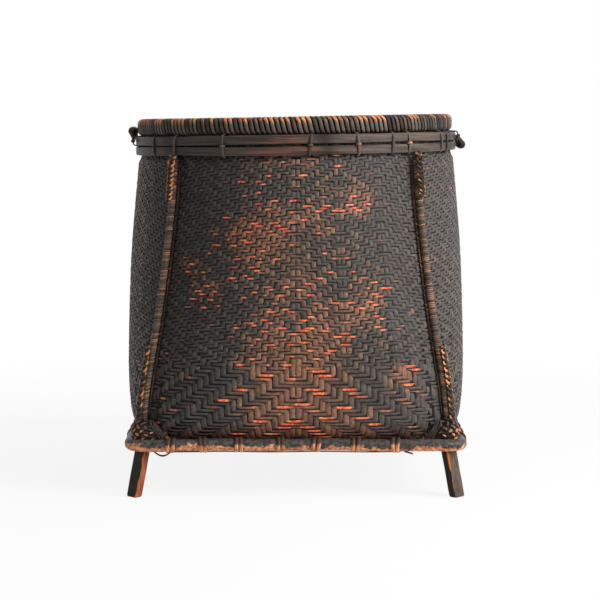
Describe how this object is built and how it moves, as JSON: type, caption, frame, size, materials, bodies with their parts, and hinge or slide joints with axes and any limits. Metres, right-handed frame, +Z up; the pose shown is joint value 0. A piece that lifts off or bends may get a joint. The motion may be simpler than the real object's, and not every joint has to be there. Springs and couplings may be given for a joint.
{
  "type": "footed grain basket",
  "caption": "Dark woven basket with a square base, round wrapped rim, split-cane bands, bound corner ribs, bent-cane base frame, splayed feet and swinging ear loops.",
  "frame": {"origin": "on the floor under the middle of the four feet", "axes": "+Z up, -Y to the front in the picture, the ear loops on -X and +X"},
  "size_m": [0.3327, 0.3306, 0.3554],
  "materials": {
    "weave": "smoke-darkened split bamboo, satin",
    "band": "polished dark split bamboo",
    "lashing": "dark rattan peel with worn edges",
    "cane": "worn round cane",
    "wood": "dark wood, worn at the edges"
  },
  "bodies": {
    "basket": {"band_tie_back_1": "lashing", "band_tie_back_2": "lashing", "band_tie_back_3": "lashing", "band_tie_back_4": "lashing", "band_tie_back_5": "lashing", "band_tie_back_6": "lashing", "band_tie_back_7": "lashing", "band_tie_back_8": "lashing", "band_tie_front_1": "lashing", "band_tie_front_2": "lashing", "band_tie_front_3": "lashing", "band_tie_front_4": "lashing", "band_tie_front_5": "lashing", "band_tie_front_6": "lashing", "band_tie_front_7": "lashing", "band_tie_front_8": "lashing", "base_frame": "cane", "corner_pad_back_left": "lashing", "corner_pad_back_right": "lashing", "corner_pad_front_left": "lashing", "corner_pad_front_right": "lashing", "corner_rib_back_left": "cane", "corner_rib_back_right": "cane", "corner_rib_front_left": "cane", "corner_rib_front_right": "cane", "cross_slat_falling": "wood", "cross_slat_rising": "wood", "ear_tie_left_back": "lashing", "ear_tie_left_front": "lashing", "ear_tie_right_back": "lashing", "ear_tie_right_front": "lashing", "frame_lashing_back": "lashing", "frame_lashing_front": "lashing", "frame_lashing_left": "lashing", "frame_lashing_right": "lashing", "inner_band": "band", "leg_back_left": "wood", "leg_back_right": "wood", "leg_front_left": "wood", "leg_front_right": "wood", "lower_band": "band", "lower_braid_back_left": "lashing", "lower_braid_back_right": "lashing", "lower_braid_front_left": "lashing", "lower_braid_front_right": "lashing", "upper_band": "band", "upper_braid_back_left": "lashing", "upper_braid_back_right": "lashing", "upper_braid_front_left": "lashing", "upper_braid_front_right": "lashing", "woven_body": "weave", "wrapped_rim": "lashing"},
    "left_ear": {"ear_loop_left": "cane"},
    "right_ear": {"ear_loop_right": "cane"}
  },
  "joints": [
    {"name": "left_ear_swing", "type": "hinge", "parent": "basket", "child": "left_ear", "pos_m": [-0.15921, 0, 0.32902], "axis": [0, 1, 0], "range_deg": [-148, 2]},
    {"name": "right_ear_swing", "type": "hinge", "parent": "basket", "child": "right_ear", "pos_m": [0.15871, 0, 0.33457], "axis": [0, -1, 0], "range_deg": [-3, 147]}
  ]
}
